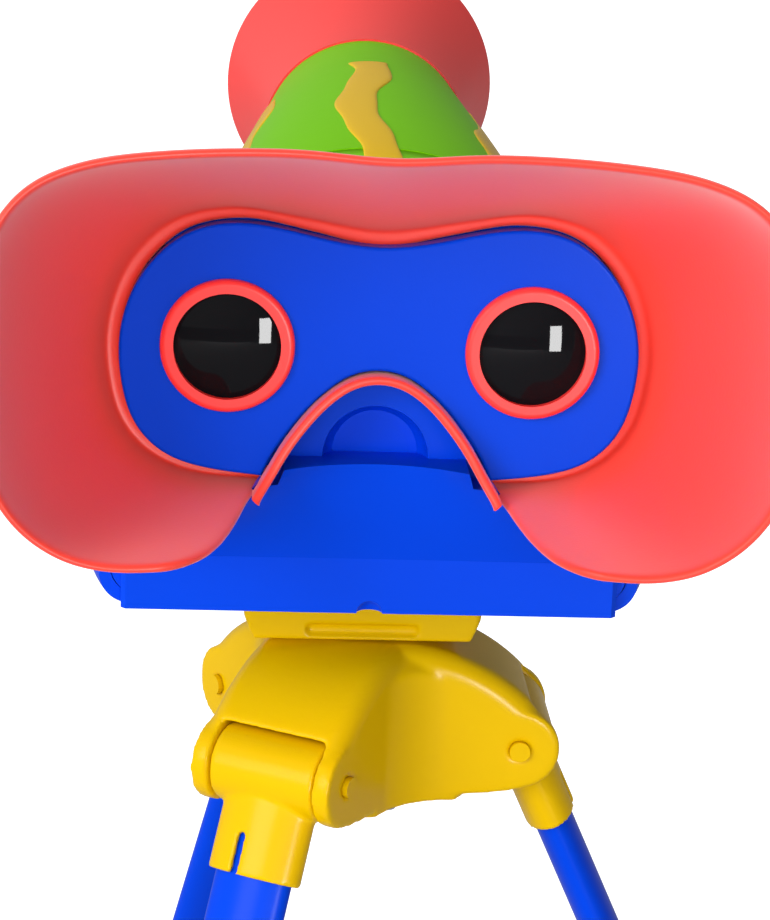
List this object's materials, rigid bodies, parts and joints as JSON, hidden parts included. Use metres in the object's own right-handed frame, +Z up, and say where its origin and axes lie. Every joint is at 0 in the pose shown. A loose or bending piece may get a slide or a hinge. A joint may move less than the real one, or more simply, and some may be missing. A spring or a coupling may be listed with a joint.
{
  "type": "toy telescope on tripod",
  "caption": "Child's telescope with a flared goggle eye shield and a bell-shaped lens hood, turning and tilting on a small stand with folding legs.",
  "frame": {"origin": "centre of the footprint box, on the floor under the feet", "axes": "+Z up, +Y the way the telescope looks, +X to the user's right"},
  "size_m": [0.1978, 0.2458, 0.3355],
  "materials": {
    "red_rubber": "soft satin",
    "red_plastic": "satin gloss",
    "blue_plastic": "gloss",
    "green_plastic": "gloss",
    "yellow_plastic": "gloss",
    "black_plastic": "matt",
    "lens_glass": "polished",
    "mirror_glass": "mirror",
    "steel": "zinc plated",
    "washer_plastic": "matt"
  },
  "bodies": {
    "tripod_head": {"tripod_head": "yellow_plastic", "head_base_cover": "yellow_plastic", "head_screws": "steel", "leg_hinge_pin_front": "yellow_plastic", "leg_hinge_pin_left": "yellow_plastic", "leg_hinge_pin_right": "yellow_plastic"},
    "pan_mount": {"mount_block": "yellow_plastic", "pan_screw": "steel", "pan_washer": "steel"},
    "telescope": {"barrel_tube": "green_plastic", "beam_splitter": "lens_glass", "body_lower_shell": "blue_plastic", "body_screws": "steel", "body_upper_shell": "blue_plastic", "eye_lens_left": "lens_glass", "eye_lens_right": "lens_glass", "eye_ring_left": "red_plastic", "eye_ring_right": "red_plastic", "eye_tube_left": "black_plastic", "eye_tube_right": "black_plastic", "eyepiece_plate": "blue_plastic", "fold_mirror_left": "mirror_glass", "fold_mirror_right": "mirror_glass", "goggle_shield": "red_rubber", "hood": "red_plastic", "objective_lens": "lens_glass", "objective_ring": "black_plastic", "prism_holder": "black_plastic", "rear_panel": "blue_plastic", "tube_baffle": "black_plastic", "wave_trim": "yellow_plastic", "tilt_pin": "steel", "tilt_washers": "washer_plastic"},
    "leg_right": {"leg_socket_right": "yellow_plastic", "leg_tube_right": "blue_plastic", "leg_foot_right": "red_rubber"},
    "leg_front": {"leg_socket_front": "yellow_plastic", "leg_tube_front": "blue_plastic", "leg_foot_front": "red_rubber"},
    "leg_left": {"leg_socket_left": "yellow_plastic", "leg_tube_left": "blue_plastic", "leg_foot_left": "red_rubber"}
  },
  "joints": [
    {"name": "pan", "type": "hinge", "parent": "tripod_head", "child": "pan_mount", "pos_m": [-0.02724, -0.01216, 0.194], "axis": [0, 0, 1], "range_deg": [-180, 180]},
    {"name": "tilt", "type": "hinge", "parent": "pan_mount", "child": "telescope", "pos_m": [-0.02724, -0.01216, 0.226], "axis": [1, 0, 0], "range_deg": [-15, 20]},
    {"name": "leg_fold_right", "type": "hinge", "parent": "tripod_head", "child": "leg_right", "pos_m": [0.00726, -0.01216, 0.175], "axis": [0, 1, 0], "range_deg": [0, 24.6]},
    {"name": "leg_fold_front", "type": "hinge", "parent": "tripod_head", "child": "leg_front", "pos_m": [-0.04449, 0.01772, 0.175], "axis": [-0.866, -0.5, 0], "range_deg": [0, 24.6]},
    {"name": "leg_fold_left", "type": "hinge", "parent": "tripod_head", "child": "leg_left", "pos_m": [-0.04449, -0.04204, 0.175], "axis": [0.866, -0.5, 0], "range_deg": [0, 24.6]}
  ]
}
